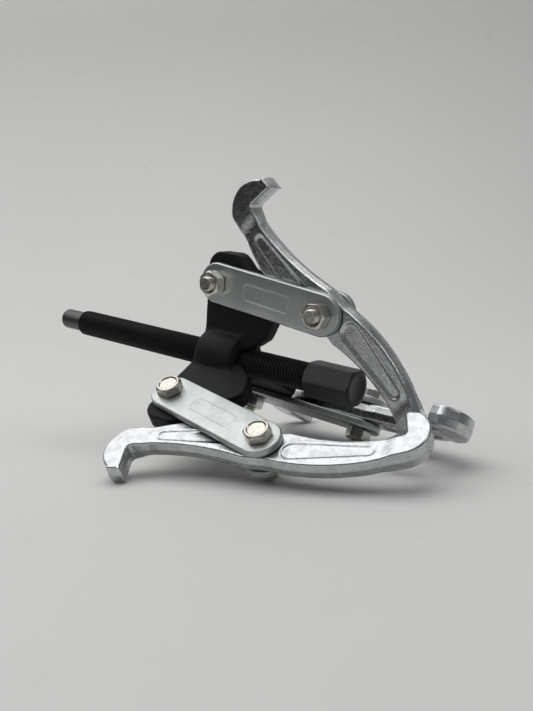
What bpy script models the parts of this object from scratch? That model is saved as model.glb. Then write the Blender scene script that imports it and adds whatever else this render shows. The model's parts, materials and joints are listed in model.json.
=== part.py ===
"""Reversible three-jaw gear puller, folded up and lying on the floor as it is put down after use.

Lengths are in millimetres until a mesh is made, and metres from there on.  The tool is built in its own frame:
+X runs along the forcing screw towards the hex, and the three arms stand round it 120 degrees apart.  In the plane
of one arm, u is the distance along the screw, r the distance out from it, and w the distance across the plane.
"""

import math

import bmesh
import bpy
from mathutils import Matrix, Vector

MM = 0.001

# Fits: what touches in the real tool is this far apart here.
GAP = 0.3

# Forcing screw, M16: thread from THREAD_START to THREAD_END, then the hex that takes the spanner.
SCREW_D = 16.0
THREAD_START = -118.0
THREAD_END = 63.0
HEX_AF = 19.0
HEX_LENGTH = 29.0
PIN_D = 12.6
PIN_LENGTH = 18.5
PIN_SHANK_D = 7.0
PIN_SHANK_DEPTH = 9.0

# Yoke: a threaded hub with three flat ears.
HUB_D = 33.0
HUB_BACK = -10.5
HUB_FRONT = 19.0
PIVOT_R = 43.5
EAR_T = 10.0
EAR_OUT = 17.5
EAR_BACK = -10.0

# Links: a pair of plates on each side of an ear, and M8 bolts through them.
LINK_L = 72.0
LINK_W = 23.0
LINK_T = 4.0
BOLT_D = 8.0
BOLT_AF = 13.0
HEAD_H = 5.3
NUT_H = 6.5
STUD_PROUD = 2.6

# Jaws: a forging that bends round two hooks, used either way up.
JAW_T = EAR_T - 2 * GAP
HOOK_T = JAW_T + 2.0
EDGE_R = 100.0
SMALL_HOOK = (-69.5, 9.5)
SMALL_HOOK_R = 17.5
SMALL_HOOK_OUT = 26.0
BIG_HOOK = (67.5, -12.5)
BIG_HOOK_R = 16.3
BIG_HOOK_OUT = -26.8
JAW_ROUND = 1.1
PANEL_DEPTH = 0.7

# Rest pose of each arm, in degrees: link and jaw against the screw's direction, and which side the heads are on.
ARMS = (
    {"name": "a", "turn": 0.0, "link": -5.6, "jaw": -37.0, "head": -1},
    {"name": "b", "turn": 120.0, "link": 10.0, "jaw": -16.0, "head": -1},
    {"name": "c", "turn": 240.0, "link": 10.5, "jaw": -16.0, "head": 1},
)

# How the folded tool is put down: turned this far about the screw, then tipped nose up, before it settles.
LAY_ROLL = 90.0
LAY_PITCH = 8.0

HALF_GRIP = EAR_T / 2 + GAP + LINK_T
HOLE_R = BOLT_D / 2 + GAP
ARC_STEP = 6.0


def clear_scene():
    for obj in list(bpy.data.objects):
        bpy.data.objects.remove(obj, do_unlink=True)


def material(name, colour, metallic, roughness):
    mat = bpy.data.materials.new(name)
    mat.use_nodes = True
    shader = mat.node_tree.nodes["Principled BSDF"]
    shader.inputs["Base Color"].default_value = (*colour, 1.0)
    shader.inputs["Metallic"].default_value = metallic
    shader.inputs["Roughness"].default_value = roughness
    return mat


def finish_mesh(bm, name):
    bmesh.ops.recalc_face_normals(bm, faces=bm.faces[:])
    bmesh.ops.scale(bm, vec=(MM, MM, MM), verts=bm.verts[:])
    mesh = bpy.data.meshes.new(name)
    bm.to_mesh(mesh)
    bm.free()
    return mesh


def arc(centre, radius, start, end, step=ARC_STEP):
    """Points on a circle from one angle to the other, in degrees, both ends included."""
    count = max(1, math.ceil(abs(end - start) / step))
    angles = [math.radians(start + (end - start) * i / count) for i in range(count + 1)]
    return [(centre[0] + radius * math.cos(t), centre[1] + radius * math.sin(t)) for t in angles]


def rounded(corners, step=ARC_STEP):
    """A closed outline through (x, y, radius) corners, each rounded to its radius."""
    outline = []
    for i, (x, y, radius) in enumerate(corners):
        here = Vector((x, y))
        back = (Vector(corners[i - 1][:2]) - here).normalized()
        ahead = (Vector(corners[(i + 1) % len(corners)][:2]) - here).normalized()
        if radius <= 0:
            outline.append((x, y))
            continue
        half = math.acos(max(-1.0, min(1.0, back.dot(ahead)))) / 2
        centre = here + (back + ahead).normalized() * radius / math.sin(half)
        start = here + back * radius / math.tan(half) - centre
        end = here + ahead * radius / math.tan(half) - centre
        from_angle = math.degrees(math.atan2(start.y, start.x))
        sweep = (math.degrees(math.atan2(end.y, end.x)) - from_angle + 180) % 360 - 180
        outline += arc(centre, radius, from_angle, from_angle + sweep, step)
    return outline


def slab(outline, half, name, cuts=()):
    """An outline thickened to half(x) on both sides of its plane.  It is cut across at each x where the slope changes."""
    bm = bmesh.new()
    bm.faces.new([bm.verts.new((x, y, 0.0)) for x, y in outline])
    for x in cuts:
        everything = bm.verts[:] + bm.edges[:] + bm.faces[:]
        bmesh.ops.bisect_plane(bm, geom=everything, dist=1e-5, plane_co=(x, 0, 0), plane_no=(1, 0, 0))
    below = bm.verts[:]
    grown = bmesh.ops.extrude_face_region(bm, geom=bm.faces[:], use_keep_orig=True)
    for vert in grown["geom"]:
        if isinstance(vert, bmesh.types.BMVert):
            vert.co.z = half(vert.co.x)
    for vert in below:
        vert.co.z = -half(vert.co.x)
    return finish_mesh(bm, name)


def lathe(profile, name, steps=48):
    """A solid of revolution about Z from (radius, z) points, closed at the axis where the radius is zero."""
    bm = bmesh.new()
    rings = []
    for radius, z in profile:
        if radius == 0:
            rings.append([bm.verts.new((0, 0, z))])
            continue
        turns = [2 * math.pi * i / steps for i in range(steps)]
        rings.append([bm.verts.new((radius * math.cos(t), radius * math.sin(t), z)) for t in turns])
    pairs = list(zip(rings, rings[1:]))
    if len(rings[0]) > 1:
        pairs.append((rings[-1], rings[0]))
    for low, high in pairs:
        for i in range(steps):
            j = (i + 1) % steps
            if len(low) == 1 and len(high) == 1:
                break
            if len(low) == 1:
                bm.faces.new((low[0], high[i], high[j]))
            elif len(high) == 1:
                bm.faces.new((low[i], low[j], high[0]))
            else:
                bm.faces.new((low[i], low[j], high[j], high[i]))
    return finish_mesh(bm, name)


def prism(sides, across_flats, bottom, top, name):
    radius = across_flats / 2 / math.cos(math.pi / sides)
    outline = arc((0, 0), radius, 0, 360 - 360 / sides, 360 / sides)
    mesh = slab(outline, lambda x: (top - bottom) / 2, name)
    mesh.transform(Matrix.Translation((0, 0, (top + bottom) / 2 * MM)))
    return mesh


def combine(base, operation, *others):
    """The base mesh after an exact Boolean with each of the others in turn."""
    for other in others:
        holder = bpy.data.objects.new("holder", base)
        cutter = bpy.data.objects.new("cutter", other)
        cutter.hide_render = True
        cutter.display_type = "WIRE"
        for obj in (holder, cutter):
            bpy.context.scene.collection.objects.link(obj)
        modifier = holder.modifiers.new("boolean", "BOOLEAN")
        modifier.operation = operation
        modifier.solver = "EXACT"
        modifier.object = cutter
        name = base.name
        bpy.context.view_layer.update()
        done = bpy.data.meshes.new_from_object(holder.evaluated_get(bpy.context.evaluated_depsgraph_get()))
        for obj in (holder, cutter):
            bpy.data.objects.remove(obj, do_unlink=True)
        bpy.data.meshes.remove(base)
        done.name = name
        base = done
    return base


def eased(mesh, width, segments, angle=35.0):
    """The mesh with its sharp edges rounded by the given width."""
    bm = bmesh.new()
    bm.from_mesh(mesh)
    sharp = [e for e in bm.edges if len(e.link_faces) == 2 and e.calc_face_angle() > math.radians(angle)]
    bmesh.ops.bevel(
        bm,
        geom=sharp,
        offset=width * MM,
        offset_type="OFFSET",
        segments=segments,
        profile=0.5,
        affect="EDGES",
        clamp_overlap=True,
    )
    bm.to_mesh(mesh)
    bm.free()
    return mesh


def moved(mesh, matrix):
    """A copy of the mesh, moved by a matrix whose lengths are in millimetres."""
    copy = mesh.copy()
    matrix = matrix.copy()
    matrix.translation = matrix.translation * MM
    copy.transform(matrix)
    return copy


def shade(mesh, angle=32.0):
    for polygon in mesh.polygons:
        polygon.use_smooth = True
    mesh.set_sharp_from_angle(angle=math.radians(angle))


def place(name, mesh, mat, parent, location=(0, 0, 0), rotation=(0, 0, 0)):
    if not mesh.materials:
        mesh.materials.append(mat)
    obj = bpy.data.objects.new(name, mesh)
    bpy.context.scene.collection.objects.link(obj)
    obj.parent = parent
    obj.location = Vector(location) * MM
    obj.rotation_euler = [math.radians(a) for a in rotation]
    return obj


def pivot(name, parent, location=(0, 0, 0), rotation=(0, 0, 0)):
    obj = bpy.data.objects.new(name, None)
    bpy.context.scene.collection.objects.link(obj)
    obj.parent = parent
    obj.location = Vector(location) * MM
    obj.rotation_euler = [math.radians(a) for a in rotation]
    return obj


def ramp(value, start, end):
    return max(0.0, min(1.0, (value - start) / (end - start)))


# ---- Jaw: its frame has the pivot at the origin, +X towards the big hook and +Y away from the screw ----
HOOK_RAMPS = (SMALL_HOOK[0] - 3.0, SMALL_HOOK[0] + 4.5, BIG_HOOK[0] - 6.0, BIG_HOOK[0] + 1.5)


def jaw_half(x):
    small = 1.0 - ramp(x, HOOK_RAMPS[0], HOOK_RAMPS[1])
    big = ramp(x, HOOK_RAMPS[2], HOOK_RAMPS[3])
    return (JAW_T + (HOOK_T - JAW_T) * max(small, big)) / 2


def edge(crest, side, span, count):
    """Points along one long edge of the jaw: an arc of EDGE_R with its crest at (x, y), bulging up or down."""
    points = []
    for i in range(count + 1):
        x = span[0] + (span[1] - span[0]) * i / count
        points.append((x, crest[1] - side * (EDGE_R - math.sqrt(EDGE_R**2 - (x - crest[0]) ** 2))))
    return points


def make_jaw(mat):
    small, big = Vector(SMALL_HOOK), Vector(BIG_HOOK)
    outline = []
    # Back of the long leg, then round the big hook to its flat tip.
    outline += edge((27.0, 13.7), 1, (6.0, 57.0), 8)
    outline += arc(big, BIG_HOOK_R, 62.0, -61.0)
    outline += [(big.x + 2.2, BIG_HOOK_OUT), (big.x + 0.2, BIG_HOOK_OUT + 1.9)]
    outline += [(big.x + 3.9, big.y + 0.6), (big.x + 3.2, big.y + 2.0), (big.x - 1.3, big.y + 3.4)]
    # Belly of the long leg back to the pivot, then the belly of the short leg out to the small hook.
    outline += edge((40.0, -5.4), 1, (58.0, 14.0), 8)
    outline += edge((-28.0, -14.8), -1, (7.0, SMALL_HOOK[0] + 5.0), 10)
    outline += arc(small, SMALL_HOOK_R, 237.0, 123.0)
    outline += [(small.x - 9.3, SMALL_HOOK_OUT), (small.x - 0.6, SMALL_HOOK_OUT - 0.6)]
    outline += [(small.x - 3.9, small.y + 0.2), (small.x - 3.0, small.y - 1.3), (small.x + 1.2, small.y - 2.3)]
    # Hollow back of the short leg.
    outline += [(x, 5.0 + (x + 50.0) ** 2 / 300.0) for x in (-63.0, -56.0, -50.0, -42.0, -34.0, -26.0, -18.0, -8.0)]
    body = slab(outline, jaw_half, "jaw", HOOK_RAMPS)
    body = eased(body, JAW_ROUND, 2)
    hole = lathe([(0, -20), (HOLE_R, -20), (HOLE_R, 20), (0, 20)], "hole", 32)
    body = combine(body, "DIFFERENCE", hole)
    for ends in (((17.8, 4.4, 5.4), (56.0, 1.2, 3.1)), ((-17.5, -3.6, 5.4), (-57.0, -1.2, 3.1))):
        for side in (1, -1):
            pocket = slab(tapered(*ends), lambda x: 2.0, "pocket")
            lift = Matrix.Translation((0, 0, side * (JAW_T / 2 - PANEL_DEPTH + 2.0)))
            body = combine(body, "DIFFERENCE", moved(pocket, lift))
    shade(body)
    return body


def tapered(wide, narrow):
    """The outline round two circles, each (x, y, radius), with straight sides that touch both."""
    start, end = Vector(wide[:2]), Vector(narrow[:2])
    along = math.degrees(math.atan2((end - start).y, (end - start).x))
    lean = math.degrees(math.acos((wide[2] - narrow[2]) / (end - start).length))
    first = arc(start, wide[2], along + lean, along + 360 - lean, 15.0)
    return first + arc(end, narrow[2], along - lean, along + lean, 15.0)


# ---- Link plate, bolt and nut: each is modelled about the pivot it belongs to, with Z along the bolt ----
def make_link():
    outline = arc((0, 0), LINK_W / 2, 90, 270, 9.0) + arc((LINK_L, 0), LINK_W / 2, -90, 90, 9.0)
    plate = eased(slab(outline, lambda x: LINK_T / 2, "link"), 0.5, 2)
    for x in (0.0, LINK_L):
        hole = lathe([(0, -9), (HOLE_R, -9), (HOLE_R, 9), (0, 9)], "hole", 32)
        plate = combine(plate, "DIFFERENCE", moved(hole, Matrix.Translation((x, 0, 0))))
    shade(plate)
    return plate


def hexagon(across_flats, bottom, top, crown, foot, name):
    """A hexagon with its corners taken off by a cone at the crown and, if foot is set, at the foot."""
    corner = across_flats / math.sqrt(3)
    slope = (corner - across_flats / 2) / math.tan(math.radians(62))
    body = prism(6, across_flats, bottom, top, name)
    profile = [(0, bottom - 1 + foot), (across_flats / 2 - 0.4 if foot else corner + 1, bottom - 1 + foot)]
    if foot:
        profile.append((corner + 0.5, bottom + slope + 0.6))
    profile.append((corner + 0.5, top - slope - 0.6))
    profile.append((across_flats / 2 - 0.4, top + 1 - crown))
    profile.append((0, top + 1 - crown))
    return combine(body, "INTERSECT", lathe(profile, "cone", 48))


def make_bolt():
    """Head above the links at +Z, thread end below them, so that it stands in the pivot as it is used."""
    seat = HALF_GRIP + GAP
    end = -(HALF_GRIP + GAP + NUT_H + STUD_PROUD)
    head = hexagon(BOLT_AF, seat, seat + HEAD_H, 1, 0, "bolt")
    r = BOLT_D / 2
    shank = lathe([(0, end), (r - 0.9, end), (r, end + 0.9), (r, seat + 1), (0, seat + 1)], "shank", 32)
    head = combine(head, "UNION", shank)
    rim = BOLT_AF / 2 - 1.9
    top = seat + HEAD_H
    dish = lathe([(0, top - 1.0), (rim - 1.2, top - 1.0), (rim, top - 0.2), (rim, top + 2), (0, top + 2)], "dish")
    head = combine(head, "DIFFERENCE", dish)
    shade(head)
    return head


def make_nut():
    seat = HALF_GRIP + GAP
    nut = hexagon(BOLT_AF, -seat - NUT_H, -seat, 1, 1, "nut")
    bore = lathe([(0, -60), (HOLE_R, -60), (HOLE_R, 0), (0, 0)], "bore", 32)
    nut = combine(nut, "DIFFERENCE", bore)
    shade(nut)
    return nut


# ---- Yoke: hub, three ears and the thread bore, all in the tool's own frame ----
def make_yoke():
    r = HUB_D / 2
    profile = [(0, HUB_BACK), (r - 3, HUB_BACK), (r, HUB_BACK + 3), (r, HUB_FRONT - 3), (r - 3, HUB_FRONT), (0, HUB_FRONT)]
    along = Matrix.Rotation(math.radians(90), 4, "Y")
    yoke = moved(lathe(profile, "yoke", 48), along)
    top = PIVOT_R + EAR_OUT
    corners = (
        (EAR_BACK, 3.0, 0.0),
        (EAR_BACK, top, 9.0),
        (11.0, top, 8.0),
        (21.0, PIVOT_R + 7.5, 9.0),
        (38.5, PIVOT_R - 16.0, 6.0),
        (33.0, 15.0, 6.0),
        (HUB_FRONT - 4.0, 3.0, 0.0),
    )
    outline = rounded(corners)
    for arm in ARMS:
        ear = eased(slab(outline, lambda x: EAR_T / 2, "ear"), 1.6, 2)
        hole = lathe([(0, -20), (HOLE_R, -20), (HOLE_R, 20), (0, 20)], "hole", 32)
        ear = combine(ear, "DIFFERENCE", moved(hole, Matrix.Translation((0, PIVOT_R, 0))))
        yoke = combine(yoke, "UNION", moved(ear, Matrix.Rotation(math.radians(arm["turn"]), 4, "X")))
    bore = lathe([(0, -90), (SCREW_D / 2 + GAP, -90), (SCREW_D / 2 + GAP, 90), (0, 90)], "bore", 48)
    yoke = combine(yoke, "DIFFERENCE", moved(bore, along))
    shade(yoke)
    return yoke


# ---- Forcing screw and the thrust pin in its nose, both along the tool's X axis ----
def make_screw():
    r = SCREW_D / 2
    hex_start = THREAD_END + 1.0
    hex_end = hex_start + HEX_LENGTH
    along = Matrix.Rotation(math.radians(90), 4, "Y")
    shank = lathe(
        [(0, THREAD_START), (r - 1, THREAD_START), (r, THREAD_START + 1), (r, hex_start + 2), (0, hex_start + 2)],
        "screw",
    )
    head = hexagon(HEX_AF, hex_start, hex_end, 1, 1, "hex")
    shank = combine(shank, "UNION", head)
    bore_r = PIN_SHANK_D / 2 + GAP
    depth = THREAD_START + PIN_SHANK_DEPTH + GAP
    bore = lathe([(0, THREAD_START - 9), (bore_r, THREAD_START - 9), (bore_r, depth), (0, depth)], "bore", 32)
    shank = combine(shank, "DIFFERENCE", bore)
    shank = moved(shank, along)
    shade(shank)
    return shank


def make_pin():
    r = PIN_D / 2
    seat = THREAD_START - GAP
    nose = THREAD_START - PIN_LENGTH
    top = seat + PIN_SHANK_DEPTH
    profile = [(0, nose)]
    profile += [(r - 2.2 + 2.2 * math.sin(t), nose + 2.2 - 2.2 * math.cos(t)) for t in (0, 0.5, 1.05, math.pi / 2)]
    profile += [(r, seat), (PIN_SHANK_D / 2, seat), (PIN_SHANK_D / 2, top), (0, top)]
    pin = moved(lathe(profile, "thrust_pin", 48), Matrix.Rotation(math.radians(90), 4, "Y"))
    shade(pin)
    return pin


def world_points():
    bpy.context.view_layer.update()
    graph = bpy.context.evaluated_depsgraph_get()
    points = []
    for obj in bpy.context.scene.objects:
        if obj.type == "MESH":
            matrix = obj.evaluated_get(graph).matrix_world
            points += [matrix @ vert.co for vert in obj.data.vertices]
    return points


def settle(root):
    """Turns the root so that the tool rests on the nearest flat of its convex hull, then drops and centres it."""
    bm = bmesh.new()
    for point in world_points():
        bm.verts.new(point)
    hull = bmesh.ops.convex_hull(bm, input=bm.verts[:])
    best = None
    for item in hull["geom"]:
        if isinstance(item, bmesh.types.BMFace):
            item.normal_update()
            if item.calc_area() > 1e-4 and (best is None or item.normal.z < best.z):
                best = item.normal.copy()
    bm.free()
    turn = best.rotation_difference(Vector((0, 0, -1))).to_matrix().to_4x4()
    root.matrix_world = turn @ root.matrix_world
    points = world_points()
    low = Vector([min(p[i] for p in points) for i in range(3)])
    high = Vector([max(p[i] for p in points) for i in range(3)])
    shift = Vector((-(low.x + high.x) / 2, -(low.y + high.y) / 2, -low.z))
    root.matrix_world = Matrix.Translation(shift) @ root.matrix_world


def build():
    clear_scene()
    chrome = material("jaw_plating", (0.62, 0.63, 0.64), 1.0, 0.22)
    zinc = material("link_zinc", (0.48, 0.50, 0.49), 1.0, 0.38)
    bright = material("bolt_zinc", (0.58, 0.57, 0.53), 1.0, 0.28)
    black = material("yoke_black", (0.015, 0.015, 0.016), 0.35, 0.55)
    oxide = material("screw_oxide", (0.02, 0.02, 0.02), 0.6, 0.42)
    steel = material("pin_steel", (0.07, 0.07, 0.07), 0.8, 0.45)

    root = pivot("tool", None, rotation=(LAY_ROLL, LAY_PITCH, 0))
    place("yoke", make_yoke(), black, root)
    nose = pivot("screw_axis", root)
    place("forcing_screw", make_screw(), oxide, nose)
    place("thrust_pin", make_pin(), steel, nose)

    meshes = {"link": make_link(), "bolt": make_bolt(), "nut": make_nut(), "jaw": make_jaw(chrome)}
    plate_at = EAR_T / 2 + GAP + LINK_T / 2
    for arm in ARMS:
        name = arm["name"]
        plane = pivot(f"arm_{name}", root, rotation=(arm["turn"], 0, 0))
        flip = 0 if arm["head"] > 0 else 180
        place(f"yoke_bolt_{name}", meshes["bolt"], bright, plane, (0, PIVOT_R, 0), (flip, 0, 0))
        place(f"yoke_nut_{name}", meshes["nut"], bright, plane, (0, PIVOT_R, 0), (flip, 0, 30))
        link = pivot(f"link_axis_{name}", plane, (0, PIVOT_R, 0), (0, 0, arm["link"]))
        place(f"link_{name}_head", meshes["link"], zinc, link, (0, 0, arm["head"] * plate_at))
        place(f"link_{name}_nut", meshes["link"], zinc, link, (0, 0, -arm["head"] * plate_at))
        place(f"jaw_bolt_{name}", meshes["bolt"], bright, link, (LINK_L, 0, 0), (flip, 0, 20))
        place(f"jaw_nut_{name}", meshes["nut"], bright, link, (LINK_L, 0, 0), (flip, 0, 10))
        swing = pivot(f"jaw_axis_{name}", link, (LINK_L, 0, 0), (0, 0, arm["jaw"] - arm["link"]))
        place(f"jaw_{name}", meshes["jaw"], chrome, swing)
    settle(root)


build()
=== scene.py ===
"""Looks of a folded three-jaw gear puller lying on a pale floor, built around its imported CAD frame.

Meshes are worked out in millimetres in each piece's own frame, and placed by the CAD joints.
"""

import json
import math

import bmesh
import bpy
import numpy as np
from mathutils import Matrix, Vector, geometry, noise


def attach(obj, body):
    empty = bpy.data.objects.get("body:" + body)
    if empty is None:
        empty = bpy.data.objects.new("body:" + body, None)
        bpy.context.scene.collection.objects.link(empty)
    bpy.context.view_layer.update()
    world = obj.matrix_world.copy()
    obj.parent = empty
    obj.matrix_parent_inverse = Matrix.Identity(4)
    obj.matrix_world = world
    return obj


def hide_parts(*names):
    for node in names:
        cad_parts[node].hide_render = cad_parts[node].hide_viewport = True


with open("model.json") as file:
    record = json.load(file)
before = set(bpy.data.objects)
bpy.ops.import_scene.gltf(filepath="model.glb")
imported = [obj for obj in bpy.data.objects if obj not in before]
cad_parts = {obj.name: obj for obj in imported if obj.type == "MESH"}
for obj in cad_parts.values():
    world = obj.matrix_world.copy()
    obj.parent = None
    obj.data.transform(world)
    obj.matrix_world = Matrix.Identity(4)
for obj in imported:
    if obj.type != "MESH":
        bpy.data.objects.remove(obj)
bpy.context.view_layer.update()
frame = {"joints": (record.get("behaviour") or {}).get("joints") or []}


# ---- Forcing screw ----
# An M16 rod with a rolled thread from nose to hex, bored at the nose for the thrust pin.
# The hex is forged on one end and takes a 19 mm spanner.  All of it is black oxided steel.
MM = 0.001
SCREW_R = 8.0
SCREW_PITCH = 2.0
SCREW_NOSE = -118.0
SCREW_SHOULDER = 63.0
HEX_ACROSS = 19.0
HEX_FOOT = 64.0
HEX_TOP = 93.0
PIN_BORE_R = 3.8
PIN_BORE_DEPTH = 9.3
HEX_WORN = 0.985
HEX_CHAMFER = 0.35
SCREW_LEAD = 1.0
BORE_EDGE = 0.3
OXIDE_BLACK = (0.010, 0.010, 0.0105)
WORN_BROWN = (0.11, 0.075, 0.05)

joints = {joint["name"]: joint for joint in frame["joints"]}


def seat(origin, along, normal):
    """The frame of a piece: its origin, X along it and Z along its bolt, as a matrix."""
    along = Vector(along).normalized()
    normal = Vector(normal)
    normal = (normal - along * normal.dot(along)).normalized()
    turn = Matrix((along, normal.cross(along), normal)).transposed()
    return Matrix.Translation(origin) @ turn.to_4x4()


tool_seat = seat(
    joints["screw_turn"]["pos_m"],
    -Vector(joints["screw_turn"]["axis"]),
    joints["link_swing_a"]["axis"],
)
ALONG_X = Matrix.Rotation(math.radians(90), 4, "Y")


class Wire:
    """A socket of a finish, so that shader maths reads as an expression."""

    def __init__(self, finish, socket):
        self.finish = finish
        self.socket = socket

    def maths(self, operation, first, second):
        return self.finish.node("ShaderNodeMath", {"operation": operation}, {0: first, 1: second})

    def __add__(self, other):
        return self.maths("ADD", self, other)

    def __sub__(self, other):
        return self.maths("SUBTRACT", self, other)

    def __rsub__(self, other):
        return self.maths("SUBTRACT", other, self)

    def __mul__(self, other):
        return self.maths("MULTIPLY", self, other)

    __radd__ = __add__
    __rmul__ = __mul__


class Finish:
    """A surface finish: a material whose nodes are all added by node()."""

    def __init__(self, name, metallic):
        self.material = bpy.data.materials.new(name)
        self.material.use_nodes = True
        self.tree = self.material.node_tree
        self.shader = self.tree.nodes["Principled BSDF"]
        self.shader.inputs["Metallic"].default_value = metallic
        self.spot = self.node("ShaderNodeTexCoord", {}, {}, "Object")

    def node(self, kind, settings, sockets, output=0):
        """Adds a node with these settings and socket values or links, and returns an output."""
        made = self.tree.nodes.new(kind)
        for key, value in settings.items():
            setattr(made, key, value)
        for key, value in sockets.items():
            self.join(made.inputs[key], value)
        return Wire(self, made.outputs[output])

    def join(self, socket, value):
        """Links a wire to the socket, or sets a constant on it."""
        if isinstance(value, Wire):
            self.tree.links.new(value.socket, socket)
        elif isinstance(value, tuple) and len(value) == 3 and socket.type == "RGBA":
            socket.default_value = (*value, 1.0)
        else:
            socket.default_value = value

    def grain(self, size, detail=2.0, where=None):
        """Cloudy noise whose lumps are about this many millimetres across."""
        scale = 1.0 / (size * MM)
        sockets = {"Vector": where or self.spot, "Scale": scale, "Detail": detail}
        return self.node("ShaderNodeTexNoise", {}, sockets)

    def band(self, value, low, high):
        """0 below the low value, 1 above the high one, and a smooth ramp between them."""
        sockets = {"Value": value, "From Min": low, "From Max": high}
        return self.node("ShaderNodeMapRange", {"interpolation_type": "SMOOTHSTEP"}, sockets)

    def blend(self, factor, first, second):
        """The first colour where the factor is 0, the second where it is 1."""
        settings = {"data_type": "RGBA"}
        return self.node("ShaderNodeMix", settings, {0: factor, 6: first, 7: second}, 2)

    def ridge(self):
        """How sharply the surface stands out: about 0.5 where it is flat, more on an edge."""
        return self.node("ShaderNodeNewGeometry", {}, {}, "Pointiness")

    def relief(self, height, depth, under=None):
        """A bump this many millimetres deep, from a 0 to 1 height, on top of the one under it."""
        sockets = {"Height": height, "Distance": depth * MM, "Strength": 1.0}
        if under:
            sockets["Normal"] = under
        return self.node("ShaderNodeBump", {}, sockets)

    def paint(self, **sockets):
        """Sets or links the shader's sockets, named in lower case, and returns the material."""
        for key, value in sockets.items():
            self.join(self.shader.inputs[key.replace("_", " ").title()], value)
        return self.material


def skin(rings, capped=(True, True)):
    """Points and faces of a skin over rings of equal count, with its ends capped or open."""
    count = len(rings[0])
    faces = []
    for k in range(len(rings) - 1):
        low = k * count
        for i in range(count):
            j = (i + 1) % count
            faces.append((low + i, low + j, low + count + j, low + count + i))
    if capped[0]:
        faces.append(tuple(range(count)))
    if capped[1]:
        faces.append(tuple((len(rings) - 1) * count + i for i in range(count)))
    return [point for ring in rings for point in ring], faces


def solid(name, points, faces, turn=None, sharp=32.0):
    """A closed mesh from points in millimetres, less the faces that have shrunk to nothing."""
    bm = bmesh.new()
    corners = [bm.verts.new(Vector(point) * MM) for point in points]
    for face in faces:
        bm.faces.new([corners[i] for i in face])
    bmesh.ops.remove_doubles(bm, verts=bm.verts[:], dist=2e-7)
    bmesh.ops.dissolve_degenerate(bm, edges=bm.edges[:], dist=1e-7)
    bmesh.ops.recalc_face_normals(bm, faces=bm.faces[:])
    if turn:
        bmesh.ops.transform(bm, matrix=turn, verts=bm.verts[:])
    mesh = bpy.data.meshes.new(name)
    bm.to_mesh(mesh)
    bm.free()
    smooth(mesh, sharp)
    return mesh


def smooth(mesh, sharp=32.0):
    """Shades the mesh smooth, except across edges sharper than this angle in degrees."""
    for polygon in mesh.polygons:
        polygon.use_smooth = True
    mesh.set_sharp_from_angle(angle=math.radians(sharp))


def ring(radius, height, steps):
    """A ring of points about Z.  Radius and height may each be a list, one value for each."""
    radii = radius if isinstance(radius, list) else [radius] * steps
    heights = height if isinstance(height, list) else [height] * steps
    turns = [2 * math.pi * i / steps for i in range(steps)]
    return [(r * math.cos(t), r * math.sin(t), z) for r, z, t in zip(radii, heights, turns)]


def thread(radius, pitch, start, end, lead, steps):
    """Points and faces of a screw thread, whose rows follow the helix to a chamfer at each end."""
    depth = 0.6 * pitch
    # Up one pitch: how far along it, as a share, and how far below the crest.
    shape = ((0.0, 0.06), (0.04, 0.0), (0.11, 0.0), (0.15, 0.06), (0.42, depth), (0.70, depth))
    per_turn = len(shape)
    rows = (math.ceil((end - start) / pitch) + 2) * per_turn
    points, faces = [], []
    for k in range(rows):
        offset, sink = shape[k % per_turn]
        for i in range(steps):
            z = start + pitch * (k // per_turn - 1 + offset + i / steps)
            z = max(start, min(end, z))
            limit = radius - lead + min(z - start, end - z)
            r = min(radius - sink, limit)
            t = 2 * math.pi * i / steps
            points.append((r * math.cos(t), r * math.sin(t), z))
    for k in range(rows - 1 - per_turn):
        for i in range(steps):
            here, up = k * steps + i, (k + 1) * steps + i
            if i < steps - 1:
                faces.append((here, here + 1, up + 1, up))
            else:
                faces.append((here, (k + per_turn) * steps, (k + per_turn + 1) * steps, up))
    return points, faces


def joined(*shells):
    """The points and faces of several shells as one list of each."""
    points, faces = [], []
    for some_points, some_faces in shells:
        faces += [tuple(len(points) + i for i in face) for face in some_faces]
        points += some_points
    return points, faces


def hex_radii(across, steps):
    """The radius of a hexagon at each step round it, with its corners slightly worn."""
    corner = across / math.sqrt(3) * HEX_WORN
    radii = []
    for i in range(steps):
        t = (2 * math.pi * i / steps) % (math.pi / 3) - math.pi / 6
        radii.append(min(corner, across / 2 / math.cos(t)))
    return radii


def hex_sides(across, bottom, top, steps, foot=True):
    """Rings up a hexagon, which a 30 degree cone chamfers at the top and, with foot, below."""
    radii = hex_radii(across, steps)
    face_r = across / 2 - HEX_CHAMFER
    drops = [(r - face_r) * math.tan(math.radians(30)) for r in radii]
    rings = [ring(face_r, bottom, steps), ring(radii, [bottom + d for d in drops], steps)]
    if not foot:
        rings = [ring(radii, bottom, steps)]
    return rings + [ring(radii, [top - d for d in drops], steps), ring(face_r, top, steps)]


def fit(name, mesh, material, at, body, *nodes):
    """Puts a piece at its seat, on its body, in the place of the CAD nodes it stands for."""
    own = mesh.copy()
    own.transform(at)
    own.materials.append(material)
    piece = bpy.data.objects.new(name, own)
    bpy.context.scene.collection.objects.link(piece)
    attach(piece, body)
    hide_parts(*nodes)
    return piece


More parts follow.
